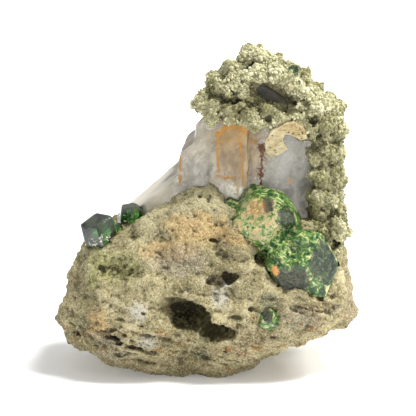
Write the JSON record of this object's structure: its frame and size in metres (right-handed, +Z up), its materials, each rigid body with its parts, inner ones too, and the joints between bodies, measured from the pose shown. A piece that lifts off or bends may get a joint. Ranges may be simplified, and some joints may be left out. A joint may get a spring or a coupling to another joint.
{
  "type": "mineral specimen",
  "caption": "Mineral specimen for a shelf: green demantoid garnets and a half-clear, rust-stained quartz crystal grown in porous tan skarn rock, standing on its own flat foot.",
  "frame": {"origin": "on the flat foot that the rock stands on, under the middle of the specimen's width", "axes": "+Z up from the foot to the peak of the cap, +Y from the front, which shows the crystals, to the back, +X to the right as seen from the front"},
  "size_m": [0.0601, 0.04, 0.0644],
  "materials": {
    "rock": "rough porous skarn, tan to olive, with rust and white patches",
    "quartz": "half-clear smoky quartz with a rust-stained panel",
    "garnet": "glassy green garnet with cream veins and dark rough faces",
    "flake": "matt cream shard with dark pits"
  },
  "bodies": {
    "root": {"matrix": "rock", "quartz": "quartz", "garnet_cluster": "garnet", "garnet_left": "garnet", "garnet_left_rear": "garnet", "garnet_low": "garnet", "garnet_top": "garnet", "pale_flake": "flake"}
  },
  "joints": []
}
